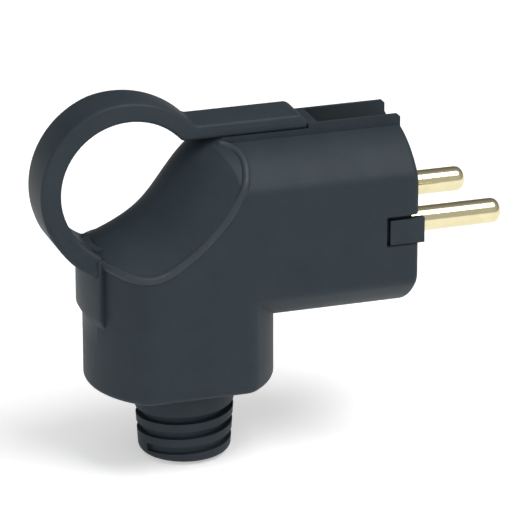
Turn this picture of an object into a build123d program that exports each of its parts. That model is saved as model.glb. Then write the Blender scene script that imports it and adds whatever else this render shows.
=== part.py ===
# Angled earthed mains plug with a pull ring: build123d source, in millimetres.
# Origin: centre of the engagement face. +X runs out along the pins, +Z is up, the cord leaves along -Z.
import os
from math import acos, asin, cos, degrees, radians, sin, sqrt

from build123d import *

os.makedirs("parts", exist_ok=True)

# Hood: two equal barrels with flattened sides, meeting at a mitre
barrel_radius = 18.1
wall = 3.4
flat_margin = 5.4         # flat sides outside the pins' axes
flat_wall = 1.3
flat_blend = 4.0          # rounding between the flat sides and the round top and bottom
rim_proud = 1.0           # front rim ahead of the engagement face
reach = 42.0              # cord barrel's axis to the engagement face
drop = 29.4               # pin barrel's axis to the underside
floor_thickness = 2.6
rim_round = 1.0
foot_round = 1.2
passage = 2.2             # how far the front bore runs into the cord chamber
ceiling_depth = 6.8       # cord chamber's ceiling below the pin barrel's axis

# Finger recess at the outer corner of the mitre: its outline in the middle and at either side,
# as points along X and Z from the crossing of the two barrels' axes, with the barrel's radius as 1
recess_middle = [(-1.08, -0.118), (-0.728, 0.059), (-0.393, 0.262), (-0.098, 0.62), (0.441, 1.09)]
recess_side = [(-1.08, -0.476), (-0.728, -0.486), (0.012, -0.208), (0.51, 0.33), (1.65, 0.656)]
recess_round = 1.0

# Spine along the top: land for the ring's strap, then two rails beside the earth window
spine_width = 9.4
land_rise = 0.6           # land and rails above the barrel
rail_rise = 1.5
strap_end = 24.4          # front end of the strap, ahead of the cord barrel's axis
rail_setback = 0.3        # front end of the rails behind the rim
rail_bevel = 0.5

# Earth windows and side notches in the front rim
window_width = 7.8
window_length = 15.6
notch_height = 6.0
notch_length = 5.5

# Pull ring
ring_back = 10.4          # ring's centre behind the cord barrel's axis
ring_rise = 10.2          # ring's centre above the pin barrel's axis
ring_inner_radius = 13.3
ring_band = 4.0
ring_width = 9.4
strap_thickness = 2.8
strap_bevel = 1.5
tail_proud = 1.2          # outer face of the rear strap beyond the barrel
tail_thickness = 2.8
tail_length = 19.0        # lower end of the rear strap below the pin barrel's axis
tail_taper = 3.0
ring_edge_bevel = 0.6
peg_radius = 2.0
peg_length = 2.0
peg_setback = 7.0
strap_clearance = 0.15

# Contact carrier and the plate behind it
carrier_depth = 12.0
carrier_clearance = 0.25
lug_root = 0.15           # inner face of the lugs inside the carrier's side
lug_recess = 0.4          # outer face of the lugs inside the hood's side
lug_proud = 1.2           # lugs ahead of the rim
lug_gap = 0.9             # above and behind each lug
lug_clearance = 0.15      # below it
pad_clearance = 0.2
retainer_thickness = 2.4
retainer_clearance = 0.4

# Contact pins
pin_radius = 2.4
pin_length = 19.0
pin_pitch = 19.0
pin_tip_round = 1.6
pin_clearance = 0.1
shoulder_radius = 2.6     # where the pin passes through the carrier
pin_neck_radius = 2.1     # where it passes through the retainer
collar_radius = 3.2
collar_length = 3.0
terminal_width = 5.8
terminal_height = 6.2
terminal_length = 9.0
terminal_gap = 0.3
wire_hole_radius = 1.6
wire_hole_depth = 6.5

# Earth strap and sleeve
sheet = 0.8
earth_width = 5.6
earth_lift = 0.7          # outer face of each contact outside the bore's wall
earth_clearance = 0.5     # outer face of the strap inside the bore's wall, farther back
earth_tip_setback = 1.4
earth_fit = 0.2
sleeve_gap = 0.3          # between the sleeve and the strap above it
sleeve_bore_radius = 2.45
sleeve_wall = 0.65
sleeve_setback = 1.0
sleeve_mouth_radius = 2.75
sleeve_clearance = 0.15
rivet_radius = 1.5
rivet_head_radius = 2.2
rivet_head = 0.6

# Screws
screw_radius = 1.5
screw_clearance = 0.15
head_radius = 2.5
head_height = 1.7
slot_width = 0.8
slot_depth = 0.9
screw_past_nut = 2.35
counterbore_depth = 2.6
counterbore_clearance = 0.4
nut_flats = 5.5
nut_height = 2.4
nut_clearance = 0.15
boss_radius = 4.4
earth_screw_drop = 8.6
earth_screw_length = 5.5
clamp_plate_width = 6.4
clamp_plate_height = 6.0
clamp_plate_thickness = 1.0

# Cord clamp
clamp_drop = 12.0         # clamp's height below the pin barrel's axis
post_inset = 6.7          # clamp screws' axes inside the chamber's wall
post_radius = 3.2
post_end = 1.5            # front end of the posts, ahead of the cord barrel's axis
bridge_thickness = 4.0
bridge_height = 6.0
bridge_overhang = 2.6
saddle_radius = 5.0
saddle_depth = 1.6
clamp_screw_length = 11.0

# Strain relief sleeve
relief_offset = 1.1       # its axis ahead of the cord barrel's axis
relief_top_radius = 9.65
relief_tip_radius = 8.8
relief_length = 15.2
relief_collar = 2.6
relief_tip_round = 1.4
neck_radius = 7.2
neck_clearance = 0.15
flange_radius = 9.0
flange_thickness = 2.0
cord_hole_radius = 4.2
groove_pitch = 3.15
groove_width = 1.5
groove_depth = 1.1
groove_margin = 0.1
groove_phase = 200.0      # where the groove starts, round from +X

# Places that follow from the sizes above
bore_radius = barrel_radius - wall
half_pitch = pin_pitch / 2
flat_half = half_pitch + flat_margin
inner_flat = flat_half - flat_wall
bore_length = reach - bore_radius + passage
carrier_radius = bore_radius - carrier_clearance
carrier_flat = inner_flat - carrier_clearance
land_height = barrel_radius + land_rise
rail_height = barrel_radius + rail_rise
elbow_x = -reach
floor_z = -drop + floor_thickness
retainer_back = carrier_depth + retainer_thickness
bar_back = retainer_back + sheet
boss_face = -bar_back
earth_contact = bore_radius + earth_lift
earth_inner = bore_radius - earth_clearance
earth_step = carrier_depth + sheet
sleeve_outer = sleeve_bore_radius + sleeve_wall
sleeve_height = earth_inner - sheet - sleeve_gap - sleeve_outer
half_spread = bore_radius - post_inset
relief_x = elbow_x + relief_offset
pad_height = earth_contact - sheet
lug_front = rim_proud + lug_proud
tail_outer = barrel_radius + tail_proud
tail_inner = tail_outer - tail_thickness
tail_top = recess_middle[0][1] * barrel_radius + wall

# Hood of dark moulded plastic: mitred elbow with a finger recess, a spine and a hollow inside
with BuildPart() as housing:
    with BuildLine():
        Polyline((rim_proud, 0, 0), (elbow_x, 0, 0), (elbow_x, 0, -drop))
    with BuildSketch(Plane.YZ.offset(rim_proud)) as section:
        Circle(barrel_radius)
        Rectangle(2 * flat_half, 2 * barrel_radius, mode=Mode.INTERSECT)
        fillet(section.vertices(), flat_blend)
    sweep(transition=Transition.RIGHT)
    fillet(housing.faces().sort_by(Axis.X)[-1].edges(), rim_round)
    fillet(housing.faces().sort_by(Axis.Z)[0].edges(), foot_round)

    # Spine: land, step and rails in one profile
    beyond = 2 * barrel_radius
    rail_front = rim_proud - rail_setback
    with BuildSketch(Plane.XZ):
        with BuildLine():
            Polyline(
                (elbow_x, 0),
                (elbow_x, land_height),
                (elbow_x + strap_end, land_height),
                (elbow_x + strap_end, rail_height),
                (rail_front - rail_bevel, rail_height),
                (rail_front, rail_height - rail_bevel),
                (rail_front, bore_radius),
                (-bore_length, 0),
                close=True,
            )
        make_face()
    extrude(amount=spine_width / 2, both=True)

    # Recess: a saddle lofted from side to side through the middle
    with BuildPart(mode=Mode.PRIVATE) as recess:
        for y, outline in ((-barrel_radius, recess_side), (0, recess_middle), (barrel_radius, recess_side)):
            floor_points = [(elbow_x + x * barrel_radius, z * barrel_radius) for x, z in outline]
            with BuildSketch(Plane.XZ.offset(-y)):
                with BuildLine():
                    Spline(floor_points)
                    Polyline(
                        floor_points[-1],
                        (floor_points[-1][0], beyond),
                        (elbow_x - beyond, beyond),
                        (elbow_x - beyond, floor_points[0][1]),
                        floor_points[0],
                    )
                make_face()
        loft()
    add(recess.part, mode=Mode.SUBTRACT)
    recess_faces = housing.faces().filter_by(GeomType.BSPLINE)
    recess_rim = recess_faces.edges().filter_by(
        lambda edge: abs(edge.center().Y) > barrel_radius / 2 or edge.center().X < elbow_x - bore_radius
    )
    fillet(recess_rim, recess_round)

    # Front bore and cord chamber
    with BuildSketch(Plane.YZ.offset(rim_proud)):
        Circle(bore_radius)
        Rectangle(2 * inner_flat, 2 * bore_radius, mode=Mode.INTERSECT)
    extrude(amount=-bore_length - rim_proud, mode=Mode.SUBTRACT)
    with BuildSketch(Plane.XY.offset(floor_z)):
        with Locations((elbow_x, 0)):
            Circle(bore_radius)
            Rectangle(2 * bore_radius, 2 * inner_flat, mode=Mode.INTERSECT)
    extrude(amount=-ceiling_depth - floor_z, mode=Mode.SUBTRACT)

    # Boss for the carrier's screw, with a pocket for the nut
    with BuildSketch(Plane.YZ.offset(boss_face)):
        Circle(boss_radius)
    extrude(amount=-(bore_length - bar_back) - wall)
    with BuildSketch(Plane.YZ.offset(boss_face)):
        Circle(screw_radius + screw_clearance)
    extrude(amount=-(bore_length - bar_back), mode=Mode.SUBTRACT)
    with BuildSketch(Plane.YZ.offset(boss_face)):
        RegularPolygon(nut_flats / 2 + nut_clearance, 6, major_radius=False)
    extrude(amount=-nut_height - nut_clearance, mode=Mode.SUBTRACT)

    # Posts for the cord clamp
    with BuildSketch(Plane.YZ.offset(elbow_x + post_end)):
        with Locations((-half_spread, -clamp_drop), (half_spread, -clamp_drop)):
            Circle(post_radius)
    post_reach = post_end + sqrt(bore_radius**2 - (half_spread + post_radius) ** 2) + wall / 2
    extrude(amount=-post_reach)
    with BuildSketch(Plane.YZ.offset(elbow_x + post_end)):
        with Locations((-half_spread, -clamp_drop), (half_spread, -clamp_drop)):
            Circle(screw_radius + screw_clearance)
    extrude(amount=-clamp_screw_length, mode=Mode.SUBTRACT)

    # Earth windows above and below, open to the front
    with BuildSketch(Plane.XY):
        with Locations(((rim_proud - window_length) / 2, 0)):
            Rectangle(rim_proud + window_length, window_width)
    extrude(amount=beyond, both=True, mode=Mode.SUBTRACT)

    # Side notches on the pin line
    with BuildSketch(Plane.XZ):
        with Locations(((rim_proud - notch_length) / 2, 0)):
            Rectangle(rim_proud + notch_length, notch_height)
    extrude(amount=beyond, both=True, mode=Mode.SUBTRACT)

    # Cord hole in the floor
    with BuildSketch(Plane.XY.offset(-drop)):
        with Locations((relief_x, 0)):
            Circle(neck_radius + neck_clearance)
    extrude(amount=floor_thickness, mode=Mode.SUBTRACT)

    # Seat for the ring's rear strap, and the hole for its peg
    with BuildSketch(Plane.XZ):
        with BuildLine():
            Polyline(
                (elbow_x - tail_inner, tail_top),
                (elbow_x - tail_inner, -tail_length - strap_clearance),
                (elbow_x - beyond, -tail_length - strap_clearance),
                (elbow_x - beyond, tail_top),
                close=True,
            )
        make_face()
    extrude(amount=ring_width / 2 + strap_clearance, both=True, mode=Mode.SUBTRACT)
    with BuildSketch(Plane.XY.offset(land_height)):
        with Locations((elbow_x + strap_end - peg_setback, 0)):
            Circle(peg_radius + strap_clearance)
    extrude(amount=-peg_length - strap_clearance, mode=Mode.SUBTRACT)
housing.part.label = "housing"
export_step(housing.part, "parts/housing.step")

# Pull ring: one moulded band, with a strap along the top and a tail down the back
with BuildPart() as pull_ring:
    ring_outer_radius = ring_inner_radius + ring_band
    ring_x = elbow_x - ring_back
    ring_start = degrees(asin((land_height - ring_rise) / ring_inner_radius))
    ring_end = 360 - degrees(acos((ring_back - tail_inner) / ring_inner_radius))
    ring_sweep = ring_end - ring_start
    with BuildSketch(Plane.XZ) as ring_profile:
        with BuildLine():
            outer_arc = CenterArc((ring_x, ring_rise), ring_outer_radius, ring_start, ring_sweep)
            inner_arc = CenterArc((ring_x, ring_rise), ring_inner_radius, ring_start, ring_sweep)
            Line(outer_arc @ 0, inner_arc @ 0)
            Line(outer_arc @ 1, inner_arc @ 1)
        make_face()
        strap_start = ring_x + ring_inner_radius * cos(radians(ring_start))
        with BuildLine():
            Polyline(
                (strap_start, land_height),
                (elbow_x + strap_end, land_height),
                (elbow_x + strap_end, land_height + strap_thickness - strap_bevel),
                (elbow_x + strap_end - strap_bevel, land_height + strap_thickness),
                (strap_start, land_height + strap_thickness),
                close=True,
            )
        make_face()
        tail_start = ring_rise + ring_inner_radius * sin(radians(ring_end))
        with BuildLine():
            Polyline(
                (elbow_x - tail_inner, tail_start),
                (elbow_x - tail_inner, -tail_length),
                (elbow_x - barrel_radius, -tail_length),
                (elbow_x - tail_outer, -tail_length + tail_taper),
                (elbow_x - tail_outer, tail_start),
                close=True,
            )
        make_face()
    extrude(amount=ring_width / 2, both=True)
    side_faces = pull_ring.faces().filter_by(Axis.Y)
    chamfer(side_faces.edges(), ring_edge_bevel)
    with BuildSketch(Plane.XY.offset(land_height)):
        with Locations((elbow_x + strap_end - peg_setback, 0)):
            Circle(peg_radius)
    extrude(amount=-peg_length)
pull_ring.part.label = "pull_ring"
export_step(pull_ring.part, "parts/pull_ring.step")

# Contact carrier: front insert with the engagement face, two lugs and two earth pads
with BuildPart() as contact_carrier:
    with BuildSketch(Plane.YZ):
        Circle(carrier_radius)
        Rectangle(2 * carrier_flat, 2 * carrier_radius, mode=Mode.INTERSECT)
    extrude(amount=-carrier_depth)
    lug_height = notch_height - lug_gap - lug_clearance
    lug_middle = (lug_clearance - lug_gap) / 2
    lug_spread = 2 * (flat_half - lug_recess)
    with BuildSketch(Plane.YZ):
        with Locations((0, lug_middle)):
            Rectangle(lug_spread, lug_height)
    extrude(amount=-(notch_length - lug_gap))
    with BuildSketch(Plane.YZ):
        with Locations((0, lug_middle)):
            Rectangle(lug_spread, lug_height)
            Rectangle(2 * (carrier_flat - lug_root), lug_height, mode=Mode.SUBTRACT)
    extrude(amount=lug_front)
    pad_width = window_width - 2 * pad_clearance
    with BuildSketch(Plane.YZ):
        Rectangle(pad_width, 2 * pad_height)
    extrude(amount=-earth_step + sheet + earth_fit)
    # Room for the strap where it steps inward behind the pads
    step_floor = earth_inner - sheet
    with BuildSketch(Plane.YZ.offset(-carrier_depth)):
        Rectangle(earth_width + 2 * earth_fit, 2 * bore_radius)
        Rectangle(earth_width + 2 * earth_fit, 2 * step_floor, mode=Mode.SUBTRACT)
    extrude(amount=earth_fit + sheet, mode=Mode.SUBTRACT)
    # Pin holes with seats for the collars, opening at the back
    with BuildSketch(Plane.YZ.offset(lug_front)):
        with Locations((-half_pitch, 0), (half_pitch, 0)):
            Circle(shoulder_radius + pin_clearance)
    extrude(amount=-lug_front - carrier_depth, mode=Mode.SUBTRACT)
    with BuildSketch(Plane.YZ.offset(-carrier_depth)):
        with Locations((-half_pitch, 0), (half_pitch, 0)):
            Circle(collar_radius + pin_clearance)
    extrude(amount=collar_length, mode=Mode.SUBTRACT)
    # Fixing screw, earth sleeve and earth terminal screw
    with BuildSketch(Plane.YZ):
        Circle(screw_radius + screw_clearance)
    extrude(amount=-carrier_depth, mode=Mode.SUBTRACT)
    with BuildSketch(Plane.YZ):
        Circle(head_radius + counterbore_clearance)
    extrude(amount=-counterbore_depth, mode=Mode.SUBTRACT)
    with BuildSketch(Plane.YZ):
        with Locations((0, sleeve_height)):
            Circle(sleeve_mouth_radius)
    extrude(amount=-carrier_depth, mode=Mode.SUBTRACT)
    with BuildSketch(Plane.YZ.offset(-sleeve_setback)):
        with Locations((0, sleeve_height)):
            Circle(sleeve_outer + sleeve_clearance)
    extrude(amount=-carrier_depth, mode=Mode.SUBTRACT)
    earth_hole_depth = earth_screw_length - retainer_thickness - sheet + 2 * screw_clearance
    with BuildSketch(Plane.YZ.offset(-carrier_depth)):
        with Locations((0, -earth_screw_drop)):
            Circle(screw_radius + screw_clearance)
    extrude(amount=earth_hole_depth, mode=Mode.SUBTRACT)
contact_carrier.part.label = "contact_carrier"
export_step(contact_carrier.part, "parts/contact_carrier.step")

# Retainer plate: slides up over the necks of the pins and holds their collars in the carrier
with BuildPart() as pin_retainer:
    with BuildSketch(Plane.YZ.offset(-carrier_depth)):
        Circle(bore_radius - retainer_clearance)
        Rectangle(2 * (inner_flat - retainer_clearance), 2 * bore_radius, mode=Mode.INTERSECT)
        Rectangle(earth_width + 2 * earth_fit, 2 * bore_radius, mode=Mode.SUBTRACT)
        with Locations((0, 0)):
            Rectangle(earth_width + 2 * earth_fit, 2 * step_floor)
        with Locations((-half_pitch, 0), (half_pitch, 0)):
            Circle(pin_neck_radius + pin_clearance, mode=Mode.SUBTRACT)
        with Locations((-half_pitch, -bore_radius / 2), (half_pitch, -bore_radius / 2)):
            Rectangle(2 * (pin_neck_radius + pin_clearance), bore_radius, mode=Mode.SUBTRACT)
        Circle(screw_radius + screw_clearance, mode=Mode.SUBTRACT)
        with Locations((0, sleeve_height)):
            Circle(sleeve_outer + sleeve_clearance, mode=Mode.SUBTRACT)
        with Locations((0, -earth_screw_drop)):
            Circle(screw_radius + screw_clearance, mode=Mode.SUBTRACT)
    extrude(amount=-retainer_thickness)
pin_retainer.part.label = "pin_retainer"
export_step(pin_retainer.part, "parts/pin_retainer.step")

# Contact pin, turned from brass, with a collar and a square terminal for one conductor
terminal_front = -bar_back - terminal_gap
terminal_back = terminal_front - terminal_length
terminal_screw_x = terminal_front - terminal_length / 2
with BuildPart() as pin_blank:
    with BuildSketch(Plane.YZ):
        Circle(pin_radius)
    extrude(amount=pin_length)
    fillet(pin_blank.edges().filter_by(GeomType.CIRCLE).sort_by(Axis.X)[-1], pin_tip_round)
    with BuildSketch(Plane.YZ):
        Circle(shoulder_radius)
    extrude(amount=-carrier_depth)
    with BuildSketch(Plane.YZ.offset(terminal_front)):
        Circle(pin_neck_radius)
    extrude(amount=-carrier_depth - terminal_front)
    with BuildSketch(Plane.YZ.offset(-carrier_depth)):
        Circle(collar_radius)
    extrude(amount=collar_length)
    with BuildSketch(Plane.YZ.offset(terminal_front)):
        Rectangle(terminal_width, terminal_height)
    extrude(amount=-terminal_length)
    with BuildSketch(Plane.YZ.offset(terminal_back)):
        Circle(wire_hole_radius)
    extrude(amount=wire_hole_depth, mode=Mode.SUBTRACT)
    with BuildSketch(Plane.XY.offset(terminal_height / 2)):
        with Locations((terminal_screw_x, 0)):
            Circle(screw_radius + screw_clearance)
    extrude(amount=-terminal_height / 2, mode=Mode.SUBTRACT)

with BuildPart() as line_pin:
    with Locations((0, -half_pitch, 0)):
        add(pin_blank.part)
line_pin.part.label = "line_pin"
export_step(line_pin.part, "parts/line_pin.step")

with BuildPart() as neutral_pin:
    with Locations((0, half_pitch, 0)):
        add(pin_blank.part)
neutral_pin.part.label = "neutral_pin"
export_step(neutral_pin.part, "parts/neutral_pin.step")


# Slotted cheese-head screw: the underside of its head lies on the plane, its shank runs against the normal
def slotted_screw(seat, shank_length):
    with BuildPart() as screw:
        with BuildSketch(seat):
            Circle(head_radius)
        extrude(amount=head_height)
        with BuildSketch(seat):
            Circle(screw_radius)
        extrude(amount=-shank_length)
        with BuildSketch(seat.offset(head_height)):
            Rectangle(2 * head_radius, slot_width)
        extrude(amount=-slot_depth, mode=Mode.SUBTRACT)
    return screw.part


terminal_shank = terminal_height / 2 - screw_clearance
line_seat = Plane((terminal_screw_x, -half_pitch, terminal_height / 2), z_dir=(0, 0, 1))
with BuildPart() as line_terminal_screw:
    add(slotted_screw(line_seat, terminal_shank))
line_terminal_screw.part.label = "line_terminal_screw"
export_step(line_terminal_screw.part, "parts/line_terminal_screw.step")

neutral_seat = Plane((terminal_screw_x, half_pitch, terminal_height / 2), z_dir=(0, 0, 1))
with BuildPart() as neutral_terminal_screw:
    add(slotted_screw(neutral_seat, terminal_shank))
neutral_terminal_screw.part.label = "neutral_terminal_screw"
export_step(neutral_terminal_screw.part, "parts/neutral_terminal_screw.step")

# Earth strap: one bent strip with a contact above and below, stepped in to pass inside the bore
with BuildPart() as earth_strap:
    with BuildSketch(Plane.XZ):
        with BuildLine():
            Polyline(
                (-bar_back, 0),
                (-bar_back, earth_inner),
                (-earth_step, earth_inner),
                (-earth_step, earth_contact),
                (-earth_tip_setback, earth_contact),
                (-earth_tip_setback, earth_contact - sheet),
                (-earth_step + sheet, earth_contact - sheet),
                (-earth_step + sheet, earth_inner - sheet),
                (-retainer_back, earth_inner - sheet),
                (-retainer_back, 0),
                close=True,
            )
        make_face()
        mirror(about=Plane.XZ)
    extrude(amount=earth_width / 2, both=True)
    with BuildSketch(Plane.YZ.offset(-retainer_back)):
        Circle(screw_radius + screw_clearance)
        with Locations((0, -earth_screw_drop)):
            Circle(screw_radius + screw_clearance)
        with Locations((0, sleeve_height)):
            Circle(rivet_radius + sleeve_clearance)
    extrude(amount=-sheet, mode=Mode.SUBTRACT)
earth_strap.part.label = "earth_strap"
export_step(earth_strap.part, "parts/earth_strap.step")

# Earth sleeve: receives a socket's earth pin and is riveted to the strap
with BuildPart() as earth_sleeve:
    with BuildSketch(Plane.YZ.offset(-retainer_back)):
        with Locations((0, sleeve_height)):
            Circle(sleeve_outer)
    extrude(amount=retainer_back - sleeve_setback)
    with BuildSketch(Plane.YZ.offset(-sleeve_setback)):
        with Locations((0, sleeve_height)):
            Circle(sleeve_bore_radius)
    extrude(amount=-(retainer_back - 2 * sleeve_setback), mode=Mode.SUBTRACT)
    with BuildSketch(Plane.YZ.offset(-retainer_back)):
        with Locations((0, sleeve_height)):
            Circle(rivet_radius)
    extrude(amount=-sheet)
    with BuildSketch(Plane.YZ.offset(-bar_back)):
        with Locations((0, sleeve_height)):
            Circle(rivet_head_radius)
    extrude(amount=-rivet_head)
earth_sleeve.part.label = "earth_sleeve"
export_step(earth_sleeve.part, "parts/earth_sleeve.step")

# Clamp plate under the earth terminal's screw
with BuildPart() as earth_clamp_plate:
    with BuildSketch(Plane.YZ.offset(-bar_back)):
        with Locations((0, -earth_screw_drop)):
            Rectangle(clamp_plate_width, clamp_plate_height)
            Circle(screw_radius + screw_clearance, mode=Mode.SUBTRACT)
    extrude(amount=-clamp_plate_thickness)
earth_clamp_plate.part.label = "earth_clamp_plate"
export_step(earth_clamp_plate.part, "parts/earth_clamp_plate.step")

earth_seat = Plane((-bar_back - clamp_plate_thickness, 0, -earth_screw_drop), x_dir=(0, 1, 0), z_dir=(-1, 0, 0))
with BuildPart() as earth_terminal_screw:
    add(slotted_screw(earth_seat, earth_screw_length + clamp_plate_thickness))
earth_terminal_screw.part.label = "earth_terminal_screw"
export_step(earth_terminal_screw.part, "parts/earth_terminal_screw.step")

# Screw that draws the carrier into the hood, and the nut it turns in
carrier_seat = Plane((-counterbore_depth, 0, 0), x_dir=(0, 1, 0), z_dir=(1, 0, 0))
with BuildPart() as carrier_screw:
    add(slotted_screw(carrier_seat, bar_back + nut_clearance + nut_height + screw_past_nut - counterbore_depth))
carrier_screw.part.label = "carrier_screw"
export_step(carrier_screw.part, "parts/carrier_screw.step")

with BuildPart() as carrier_nut:
    with BuildSketch(Plane.YZ.offset(boss_face - nut_clearance)):
        RegularPolygon(nut_flats / 2, 6, major_radius=False)
        Circle(screw_radius + screw_clearance, mode=Mode.SUBTRACT)
    extrude(amount=-nut_height)
carrier_nut.part.label = "carrier_nut"
export_step(carrier_nut.part, "parts/carrier_nut.step")

# Cord clamp: a bridge with a hollow for the cord, drawn onto the posts by two screws
post_face = elbow_x + post_end
with BuildPart() as cord_clamp_bridge:
    with BuildSketch(Plane.YZ.offset(post_face)):
        with Locations((0, -clamp_drop)):
            Rectangle(2 * (half_spread + bridge_overhang), bridge_height)
        with Locations((-half_spread, -clamp_drop), (half_spread, -clamp_drop)):
            Circle(screw_radius + screw_clearance, mode=Mode.SUBTRACT)
    extrude(amount=bridge_thickness)
    with BuildSketch(Plane.XY.offset(-clamp_drop)):
        with Locations((post_face + saddle_depth - saddle_radius, 0)):
            Circle(saddle_radius)
    extrude(amount=bridge_height, both=True, mode=Mode.SUBTRACT)
cord_clamp_bridge.part.label = "cord_clamp_bridge"
export_step(cord_clamp_bridge.part, "parts/cord_clamp_bridge.step")

clamp_shank = clamp_screw_length + bridge_thickness - screw_clearance
with BuildPart() as cord_clamp_screws:
    for side in (-half_spread, half_spread):
        clamp_seat = Plane((post_face + bridge_thickness, side, -clamp_drop), x_dir=(0, 1, 0), z_dir=(1, 0, 0))
        add(slotted_screw(clamp_seat, clamp_shank))
cord_clamp_screws.part.label = "cord_clamp_screws"
export_step(cord_clamp_screws.part, "parts/cord_clamp_screws.step")

# Strain relief: soft sleeve held in the floor by its flange, with a helical groove that lets it bend
with BuildPart() as strain_relief_sleeve:
    relief_top = -drop
    relief_tip = -drop - relief_length
    with BuildSketch(Plane.XZ):
        with BuildLine():
            Polyline(
                (0, floor_z + flange_thickness),
                (flange_radius, floor_z + flange_thickness),
                (flange_radius, floor_z),
                (neck_radius, floor_z),
                (neck_radius, relief_top),
                (relief_top_radius, relief_top),
                (relief_top_radius, relief_top - relief_collar),
                (relief_tip_radius, relief_tip),
                (0, relief_tip),
                close=True,
            )
        make_face()
    revolve(axis=Axis.Z)
    fillet(strain_relief_sleeve.edges().filter_by(GeomType.CIRCLE).sort_by(Axis.Z)[0], relief_tip_round)
    groove_start = relief_tip + relief_tip_round + groove_width / 2 + groove_margin
    groove_end = relief_top - relief_collar - groove_width / 2 - groove_margin
    groove_radius = (relief_top_radius + relief_tip_radius) / 2
    with BuildLine():
        groove_path = Helix(groove_pitch, groove_end - groove_start, groove_radius, center=(0, 0, groove_start))
    with BuildSketch(Plane(groove_path @ 0, x_dir=(1, 0, 0), z_dir=groove_path % 0)):
        Rectangle(2 * groove_depth, groove_width)
    groove = sweep(path=groove_path, is_frenet=True, mode=Mode.PRIVATE)
    add(groove.rotate(Axis.Z, groove_phase), mode=Mode.SUBTRACT)
    with BuildSketch(Plane.XY.offset(relief_tip)):
        Circle(cord_hole_radius)
    extrude(amount=relief_length + floor_thickness + flange_thickness, mode=Mode.SUBTRACT)
strain_relief_sleeve.part.position = (relief_x, 0, 0)
strain_relief_sleeve.part.label = "strain_relief_sleeve"
export_step(strain_relief_sleeve.part, "parts/strain_relief_sleeve.step")
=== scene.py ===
# Angled mains plug with a pull ring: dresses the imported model, lights it and sets the camera.
# Everything is in metres, in the model's own frame: pins along +X, cord along -Z.
import math

import bmesh
import bpy
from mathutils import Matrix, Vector


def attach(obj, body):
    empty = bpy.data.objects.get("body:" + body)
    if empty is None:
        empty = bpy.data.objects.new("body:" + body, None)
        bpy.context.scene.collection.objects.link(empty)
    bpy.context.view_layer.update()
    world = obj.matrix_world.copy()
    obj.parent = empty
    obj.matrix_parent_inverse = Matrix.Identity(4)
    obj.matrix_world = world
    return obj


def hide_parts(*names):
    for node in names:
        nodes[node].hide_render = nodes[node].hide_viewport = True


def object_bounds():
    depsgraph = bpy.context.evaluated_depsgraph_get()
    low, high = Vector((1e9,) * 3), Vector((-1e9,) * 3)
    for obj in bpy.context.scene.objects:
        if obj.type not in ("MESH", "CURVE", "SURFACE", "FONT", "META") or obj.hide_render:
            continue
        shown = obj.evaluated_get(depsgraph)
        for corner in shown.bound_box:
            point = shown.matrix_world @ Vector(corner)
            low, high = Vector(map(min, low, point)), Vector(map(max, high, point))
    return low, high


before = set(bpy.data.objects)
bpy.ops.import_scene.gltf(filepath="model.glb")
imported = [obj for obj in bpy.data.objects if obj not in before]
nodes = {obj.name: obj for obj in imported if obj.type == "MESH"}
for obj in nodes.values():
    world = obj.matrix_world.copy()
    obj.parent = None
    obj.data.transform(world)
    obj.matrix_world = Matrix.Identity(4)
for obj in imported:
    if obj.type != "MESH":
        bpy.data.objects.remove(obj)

cad_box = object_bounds()
scene = bpy.context.scene
scene.view_settings.view_transform = "Standard"

# Camera: a long lens at the photograph's angle, a little above the plug and behind its face.
# It stands well back, so that the near and the far side keep nearly the same scale.
camera_target = Vector((-0.0261, 0.0, -0.0078))
camera_azimuth = math.radians(-18.51)
camera_elevation = math.radians(20.76)
camera_distance = 0.8
camera_data = bpy.data.cameras.new("camera")
camera_data.sensor_width = 36.0
camera_data.lens = 294.7
camera = bpy.data.objects.new("camera", camera_data)
scene.collection.objects.link(camera)
toward_camera = Vector((
    math.sin(camera_azimuth) * math.cos(camera_elevation),
    -math.cos(camera_azimuth) * math.cos(camera_elevation),
    math.sin(camera_elevation),
))
camera.location = camera_target + camera_distance * toward_camera
camera.rotation_euler = toward_camera.to_track_quat("Z", "Y").to_euler()
scene.camera = camera

# Table: a matt white sheet under the sleeve's lower end, wide enough to fill the views from above.
# It takes the plug's shadow, and adds a little light of its own where it is seen or mirrored.
table_size = 24.0
table_drop = 0.0005
table_white = (0.86, 0.86, 0.86, 1.0)
table_glow = 0.42
glow_white = (1.0, 1.0, 1.0, 1.0)
table_half = table_size / 2
table_height = cad_box[0].z - table_drop
table_corners = (
    (-table_half, -table_half, table_height),
    (table_half, -table_half, table_height),
    (table_half, table_half, table_height),
    (-table_half, table_half, table_height),
)
table_mesh = bpy.data.meshes.new("table")
table_mesh.from_pydata(table_corners, [], [(0, 1, 2, 3)])
table = bpy.data.objects.new("table", table_mesh)
scene.collection.objects.link(table)


class Socket:
    """One output of a shader node. Arithmetic on it adds Math nodes; node() adds a node of any kind."""

    def __init__(self, socket):
        self.socket = socket

    def node(self, kind, inputs, output=0, **settings):
        """Adds a node to the same tree: its settings first, then the values or links of its sockets."""
        tree = self.socket.id_data
        made = tree.nodes.new("ShaderNode" + kind)
        for name, value in settings.items():
            setattr(made, name, value)
        for name, value in inputs.items():
            if isinstance(value, Socket):
                tree.links.new(value.socket, made.inputs[name])
            else:
                made.inputs[name].default_value = value
        return Socket(made.outputs[output])

    def math(self, operation, first, second):
        return self.node("Math", {0: first, 1: second}, operation=operation)

    def __add__(self, other):
        return self.math("ADD", self, other)

    def __radd__(self, other):
        return self.math("ADD", other, self)

    def __sub__(self, other):
        return self.math("SUBTRACT", self, other)

    def __rsub__(self, other):
        return self.math("SUBTRACT", other, self)

    def __mul__(self, other):
        return self.math("MULTIPLY", self, other)

    def __rmul__(self, other):
        return self.math("MULTIPLY", other, self)


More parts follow.
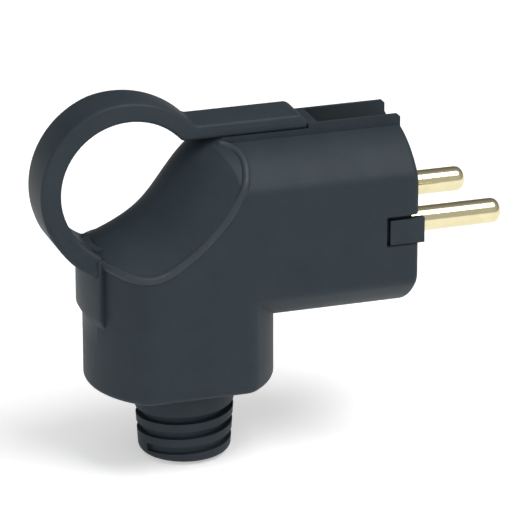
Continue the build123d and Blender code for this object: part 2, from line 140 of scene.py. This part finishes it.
def new_finish(name):
    """A material with its plain shader: the material, the shader and the place on the surface, in metres."""
    finish = bpy.data.materials.new(name)
    finish.use_nodes = True
    tree = finish.node_tree
    shader = tree.nodes["Principled BSDF"]
    place = Socket(tree.nodes.new("ShaderNodeTexCoord").outputs["Object"])
    return finish, shader, place


def feed(shader, name, value):
    """Links a value to one of the shader's sockets."""
    value.socket.id_data.links.new(value.socket, shader.inputs[name])


table_finish, table_shader, table_place = new_finish("white_table")
table_shader.inputs["Base Color"].default_value = table_white
table_shader.inputs["Roughness"].default_value = 0.9
table_shader.inputs["Specular IOR Level"].default_value = 0.1
seen = table_place.node("LightPath", {}, output="Is Camera Ray")
mirrored = table_place.node("LightPath", {}, output="Is Glossy Ray")
passed = table_place.node("LightPath", {}, output="Is Transmission Ray")
glow_level = table_glow * (seen + mirrored + passed)
glow = table_place.node("Emission", {"Color": glow_white, "Strength": glow_level})
lit = table_place.node("AddShader", {0: Socket(table_shader.outputs["BSDF"]), 1: glow})
table_output = table_finish.node_tree.nodes["Material Output"]
table_finish.node_tree.links.new(lit.socket, table_output.inputs["Surface"])
table_mesh.materials.append(table_finish)

# Studio light: a white surround, brighter in front and above than behind, as in a small photo tent.
# A soft box hangs overhead and a weaker one stands on the left.
surround_level = 0.37
surround_loss_behind = 0.27
surround_gain_above = 0.08
world = bpy.data.worlds.new("studio")
scene.world = world
world.use_nodes = True
surround = world.node_tree.nodes["Background"]
surround.inputs["Color"].default_value = (1.0, 1.0, 1.0, 1.0)
facing = Socket(world.node_tree.nodes.new("ShaderNodeTexCoord").outputs["Generated"])
behind = facing.node("SeparateXYZ", {"Vector": facing}, output="Y")
above = facing.node("SeparateXYZ", {"Vector": facing}, output="Z")
feed(surround, "Strength", surround_level - surround_loss_behind * behind + surround_gain_above * above)


def soft_lamp(name, place, size, watts):
    """A round soft box at a place, turned to the plug."""
    lamp_data = bpy.data.lights.new(name, "AREA")
    lamp_data.shape = "DISK"
    lamp_data.size = size
    lamp_data.energy = watts
    lamp = bpy.data.objects.new(name, lamp_data)
    lamp.location = place
    lamp.rotation_euler = (lamp.location - camera_target).to_track_quat("Z", "Y").to_euler()
    scene.collection.objects.link(lamp)


soft_lamp("overhead_box", place=(0.16, -0.24, 0.64), size=0.5, watts=3.8)
soft_lamp("left_box", place=(-0.6, -0.4, 0.25), size=0.4, watts=0.6)

# Hood: one moulding of tough charcoal plastic, a mitred elbow with a scooped finger recess.
# Its mould was spark-eroded, so the surface has a fine satin grain, polished a little by handling.
charcoal = (0.0195, 0.0295, 0.038)


def dress(node_name, finish):
    """Gives a CAD node its finish."""
    mesh = nodes[node_name].data
    mesh.materials.clear()
    mesh.materials.append(finish)


def noise(place, scale, detail, roughness=0.5):
    """A value that wanders over the surface; scale is about how many patches fit in a metre."""
    patches = {"Scale": scale, "Detail": detail, "Roughness": roughness}
    return place.node("TexNoise", {"Vector": place, **patches})


def blend(amount, first, second):
    """Mixes two colours by an amount, through the Mix node's sockets for colour."""
    colours = {6: (*first, 1.0), 7: (*second, 1.0)}
    return amount.node("Mix", {0: amount, **colours}, output=2, data_type="RGBA")


def raised(relief, strength, depth):
    """The surface's direction under a relief of the given depth."""
    return relief.node("Bump", {"Height": relief, "Strength": strength, "Distance": depth})


def moulded_plastic(name, colour, roughness, grain_size, grain_depth):
    """Satin plastic: clouded colour, fine grain from the mould, and a patchy polish."""
    finish, shader, place = new_finish(name)
    cloud = noise(place, scale=160.0, detail=3.0)
    speck = noise(place, scale=3200.0, detail=1.0)
    rubbed = noise(place, scale=60.0, detail=4.0, roughness=0.6)
    grain = noise(place, scale=1 / grain_size, detail=2.0)
    flow = noise(place, scale=260.0, detail=1.0)
    dark = [0.72 * channel for channel in colour]
    pale = [1.35 * channel for channel in colour]
    feed(shader, "Base Color", blend(0.65 * cloud + 0.35 * speck, dark, pale))
    feed(shader, "Roughness", roughness - 0.07 + 0.14 * rubbed + 0.05 * speck)
    feed(shader, "Normal", raised(grain + 0.5 * flow, strength=0.35, depth=grain_depth))
    shader.inputs["Specular IOR Level"].default_value = 0.24
    return finish


hood_plastic = moulded_plastic(
    "hood_plastic", charcoal, roughness=0.56, grain_size=0.00032, grain_depth=0.00004
)
dress("housing", hood_plastic)

# Recess lip: a rounded bead along the edge of the finger recess, the same on both sides.
# It is part of the hood's moulding, of the same plastic.
# Its colour is painted a little paler than the rest, a painted highlight along the bead, and fingers have
# rubbed it smoother.
lip_radius = 0.00085
lip_route = (
    (-0.0586, -0.0066, -0.0029),
    (-0.0567, -0.0102, -0.0035),
    (-0.0543, -0.0129, -0.0041),
    (-0.0515, -0.01425, -0.0043),
    (-0.0478, -0.01435, -0.0033),
    (-0.0449, -0.01435, -0.0015),
    (-0.0418, -0.01435, 0.0008),
    (-0.0388, -0.01435, 0.0037),
    (-0.0362, -0.01435, 0.0068),
    (-0.0345, -0.0141, 0.0094),
    (-0.0332, -0.0136, 0.0115),
    (-0.0323, -0.0119, 0.0133),
    (-0.0319, -0.0091, 0.0153),
    (-0.0324, -0.0070, 0.0163),
    (-0.0336, -0.0052, 0.0170),
    (-0.0350, -0.0042, 0.0174),
)
# The lip's colour: the charcoal painted paler and bluer, as a painted highlight along the bead.
lip_highlight_charcoal = (0.031, 0.0425, 0.0525)
lip_curve = bpy.data.curves.new("recess_lip", "CURVE")
lip_curve.dimensions = "3D"
lip_curve.bevel_depth = lip_radius
lip_curve.bevel_resolution = 5
lip_curve.resolution_u = 8
lip_curve.use_fill_caps = True
for side in (1, -1):
    bead = lip_curve.splines.new("BEZIER")
    bead.bezier_points.add(len(lip_route) - 1)
    for point, (x, y, z) in zip(bead.bezier_points, lip_route):
        point.co = (x, side * y, z)
        point.handle_left_type = "AUTO"
        point.handle_right_type = "AUTO"
lip = bpy.data.objects.new("recess_lip", lip_curve)
scene.collection.objects.link(lip)
# Its finish carries the painted highlight in its paler colour; only its lower roughness is from handling.
lip_highlight_plastic = moulded_plastic(
    "lip_painted_highlight_plastic", lip_highlight_charcoal, roughness=0.42, grain_size=0.0003, grain_depth=0.00003
)
lip_curve.materials.append(lip_highlight_plastic)
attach(lip, "root")

# Pull ring: one separate moulding of the same plastic, with every edge rounded for the finger.
# Its strap is pegged to the top of the hood.
# At the back its flared end runs into a pad that hugs the barrel, over a foot sunk in its seat.
elbow_x = -0.042
barrel_radius = 0.0181
ring_x = elbow_x - 0.0104
ring_z = 0.0102
ring_inner_radius = 0.0133
ring_outer_radius = 0.0173
ring_half_width = 0.0047
ring_edge_radius = 0.0011
ring_steps = 60
outer_arc_degrees = (44, 239)
inner_arc_degrees = (242.7, 39.7)
band_end = ((-0.0603, -0.0056), (-0.0590, -0.0042))
shoulder_degree = 60
shoulder_reach = 50
shoulder_sink = 0.0005
strap_front = elbow_x + 0.0244
strap_back = -0.0392
strap_bottom = 0.0187
strap_top = 0.0215
strap_bevel = 0.0015
flare = 0.0029
flare_top = 0.0045
flare_height = 0.008
flare_front = elbow_x - 0.012
pad_top = -0.0020
pad_shoulder = -0.0136
pad_bottom = -0.0162
pad_inner_radius = 0.0172
pad_outer_radius = barrel_radius + 0.0012
pad_toe_radius = 0.0179
pad_edge_radius = 0.0004
pad_half_angle = math.radians(24.0)
foot_top = -0.0008
foot_slope = 0.0001
foot_bottom = -0.0194
foot_inner_radius = 0.0160
foot_outer_radius = 0.01812
foot_half_angle = math.radians(16.3)
weld_distance = 0.000005
ring_charcoal = (0.022, 0.032, 0.04)


def ring_arc(radius, first_degree, last_degree, sink=0.0):
    """Points of an arc about the ring's centre; sink flattens its shoulder above the strap."""
    points = []
    for step in range(ring_steps + 1):
        degree = first_degree + (last_degree - first_degree) * step / ring_steps
        turn = math.radians(degree)
        off_shoulder = min(1.0, abs(degree - shoulder_degree) / shoulder_reach)
        drop = sink * math.cos(off_shoulder * math.pi / 2)
        points.append((ring_x + radius * math.cos(turn), ring_z + radius * math.sin(turn) - drop))
    return points


def closed_mesh(name, sections):
    """A closed mesh through outlines of equal length, each a list of points, with its two end faces."""
    work = bmesh.new()
    rows = [[work.verts.new(point) for point in section] for section in sections]
    for row, next_row in zip(rows, rows[1:]):
        for i in range(len(row)):
            j = (i + 1) % len(row)
            work.faces.new((row[i], row[j], next_row[j], next_row[i]))
    work.faces.new(rows[0])
    work.faces.new(rows[-1])
    bmesh.ops.recalc_face_normals(work, faces=work.faces)
    mesh = bpy.data.meshes.new(name)
    work.to_mesh(mesh)
    work.free()
    made = bpy.data.objects.new(name, mesh)
    scene.collection.objects.link(made)
    return made


def round_edges(piece, radius, segments):
    """Rounds the piece's sharp edges."""
    bevel = piece.modifiers.new("rounded_edges", "BEVEL")
    bevel.width = radius
    bevel.segments = segments
    bevel.limit_method = "ANGLE"
    bevel.angle_limit = math.radians(32)


def wrapped(name, outline, half_angle, steps):
    """A block round the back of the barrel: an outline of (radius, height) swept about its axis."""
    sections = []
    for step in range(steps + 1):
        turn = half_angle * (2 * step / steps - 1)
        section = []
        for radius, height in outline:
            section.append((elbow_x - radius * math.cos(turn), radius * math.sin(turn), height))
        sections.append(section)
    return closed_mesh(name, sections)


def band_half_width(x, z):
    """The band's half width, which flares where its lower end runs into the pad."""
    if x >= flare_front:
        return ring_half_width
    lowered = min(1.0, max(0.0, (flare_top - z) / flare_height))
    return ring_half_width + flare * lowered * lowered * (3 - 2 * lowered)


band_outline = [
    (strap_front, strap_bottom),
    (strap_front, strap_top - strap_bevel),
    (strap_front - strap_bevel, strap_top),
    (strap_back, strap_top),
    *ring_arc(ring_outer_radius, *outer_arc_degrees, sink=shoulder_sink),
    *band_end,
    *ring_arc(ring_inner_radius, *inner_arc_degrees),
]
band_sides = [[(x, side * band_half_width(x, z), z) for x, z in band_outline] for side in (-1, 1)]
band = closed_mesh("pull_ring_moulding", band_sides)
round_edges(band, ring_edge_radius, segments=4)
pad_outline = (
    (pad_inner_radius, pad_top),
    (pad_outer_radius, pad_top),
    (pad_outer_radius, pad_shoulder),
    (pad_toe_radius, pad_bottom),
    (pad_inner_radius, pad_bottom),
)
pad = wrapped("ring_pad", pad_outline, pad_half_angle, steps=14)
round_edges(pad, pad_edge_radius, segments=3)
foot_outline = (
    (foot_inner_radius, foot_bottom),
    (foot_outer_radius, foot_bottom),
    (foot_outer_radius, foot_top),
    (foot_inner_radius, foot_top + foot_slope),
)
foot = wrapped("ring_foot", foot_outline, foot_half_angle, steps=10)
for block in (pad, foot):
    joined = band.modifiers.new("join", "BOOLEAN")
    joined.operation = "UNION"
    joined.solver = "EXACT"
    joined.object = block
bpy.context.view_layer.update()
joined_band = band.evaluated_get(bpy.context.evaluated_depsgraph_get())
whole_ring = bpy.data.meshes.new_from_object(joined_band)
welded = bmesh.new()
welded.from_mesh(whole_ring)
bmesh.ops.remove_doubles(welded, verts=welded.verts, dist=weld_distance)
welded.to_mesh(whole_ring)
welded.free()
band.modifiers.clear()
band.data = whole_ring
whole_ring.name = "pull_ring_moulding"
for block in (pad, foot):
    bpy.data.objects.remove(block)
ring_plastic = moulded_plastic(
    "ring_plastic", ring_charcoal, roughness=0.54, grain_size=0.0003, grain_depth=0.00004
)
whole_ring.materials.clear()
whole_ring.materials.append(ring_plastic)
whole_ring.shade_smooth()
whole_ring.set_sharp_from_angle(angle=math.radians(40))
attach(band, "root")
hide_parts("pull_ring")

# Contact carrier, pin retainer and cord clamp bridge: the inner mouldings that hold pins and cord.
# They are of the hood's plastic, from a smoother mould, and screws hold them in place.
carrier_plastic = moulded_plastic(
    "carrier_plastic", charcoal, roughness=0.4, grain_size=0.00025, grain_depth=0.00002
)
for piece in ("contact_carrier", "pin_retainer", "cord_clamp_bridge"):
    dress(piece, carrier_plastic)

# Contact pins: turned from brass bar and polished, and held in the carrier by their collars.
# They have fine rings from the lathe, and faint marks along them from being pushed into sockets.
pin_gold = (0.755, 0.69, 0.455)
tarnish_brown = (0.37, 0.29, 0.125)


def turned_brass(name, colour, tarnish):
    """Bright brass with tool marks round and along the X axis, and a patchy tarnish."""
    finish, shader, place = new_finish(name)
    rings = place.node("Mapping", {"Vector": place, "Scale": (9000.0, 120.0, 120.0)})
    turned = noise(rings, scale=1.0, detail=1.0)
    along = place.node("Mapping", {"Vector": place, "Scale": (60.0, 5200.0, 5200.0)})
    scored = noise(along, scale=1.0, detail=2.0)
    dull = noise(place, scale=420.0, detail=3.0)
    feed(shader, "Base Color", blend(tarnish * dull, colour, tarnish_brown))
    feed(shader, "Roughness", 0.07 + 0.1 * dull + 0.06 * scored)
    feed(shader, "Normal", raised(0.6 * turned + 0.4 * scored, strength=0.25, depth=0.00001))
    shader.inputs["Metallic"].default_value = 1.0
    return finish


pin_brass = turned_brass("pin_brass", pin_gold, tarnish=0.35)
for piece in ("line_pin", "neutral_pin"):
    dress(piece, pin_brass)

# Earth strap and sleeve: a strap stamped and bent from brass strip, with a sleeve riveted to it.
# The strap wraps the carrier and shows in the hood's two windows, duller than the pins.
strip_gold = (0.74, 0.58, 0.31)
strip_brass = turned_brass("strip_brass", strip_gold, tarnish=0.6)
for piece in ("earth_strap", "earth_sleeve"):
    dress(piece, strip_brass)

# Screws, nut and clamp plate: bought fasteners of mild steel with a thin coat of zinc.
# They clamp the conductors and the cord, and hold the carrier in the hood.
zinc_dark = (0.5, 0.51, 0.5)
zinc_pale = (0.72, 0.72, 0.69)
screw_steel, screw_shader, screw_place = new_finish("screw_steel")
mottle = noise(screw_place, scale=900.0, detail=3.0)
feed(screw_shader, "Base Color", blend(mottle, zinc_dark, zinc_pale))
feed(screw_shader, "Roughness", 0.24 + 0.2 * mottle)
feed(screw_shader, "Normal", raised(mottle, strength=0.2, depth=0.00002))
screw_shader.inputs["Metallic"].default_value = 1.0
for piece in (
    "line_terminal_screw",
    "neutral_terminal_screw",
    "earth_clamp_plate",
    "earth_terminal_screw",
    "carrier_screw",
    "carrier_nut",
    "cord_clamp_screws",
):
    dress(piece, screw_steel)

# Strain relief sleeve: a softer, duller moulding, held in the hood's neck by its flange.
# The helical groove round it lets it bend with the cord.
sleeve_charcoal = (0.022, 0.031, 0.039)
sleeve_rubber = moulded_plastic(
    "sleeve_rubber", sleeve_charcoal, roughness=0.6, grain_size=0.00045, grain_depth=0.00005
)
dress("strain_relief_sleeve", sleeve_rubber)
